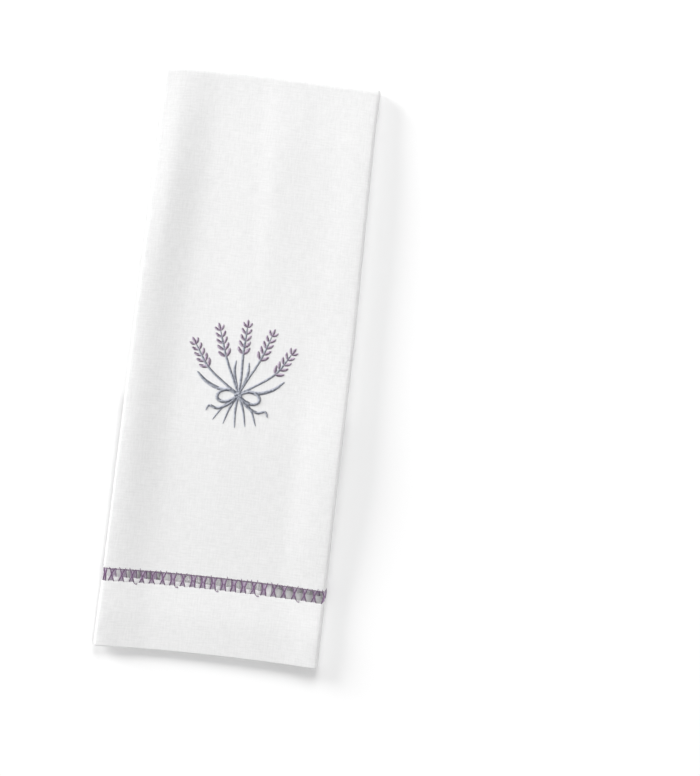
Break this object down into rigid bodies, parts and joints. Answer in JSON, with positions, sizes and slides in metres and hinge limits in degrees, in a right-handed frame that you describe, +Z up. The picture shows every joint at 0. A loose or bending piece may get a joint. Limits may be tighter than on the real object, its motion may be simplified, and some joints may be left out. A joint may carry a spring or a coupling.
{
  "type": "folded linen hand towel",
  "caption": "White linen hand towel with both sides and the top folded behind, and an openwork ladder band above a deep hem.",
  "frame": {"origin": "on the surface the towel lies on, under the middle of its box", "axes": "+X across the towel to its right fold as it is looked at from above, +Y along it from the hem to the top fold, +Z up"},
  "size_m": [0.1234, 0.3208, 0.0131],
  "materials": {
    "white_linen": "matte plain-weave white linen with a few slubs",
    "plum_thread": "softly shining plum and mauve stitching thread",
    "slate_thread": "softly shining slate-blue embroidery thread",
    "white_thread": "matte white sewing thread"
  },
  "bodies": {
    "root": {"linen_towel": "white_linen"}
  },
  "joints": []
}
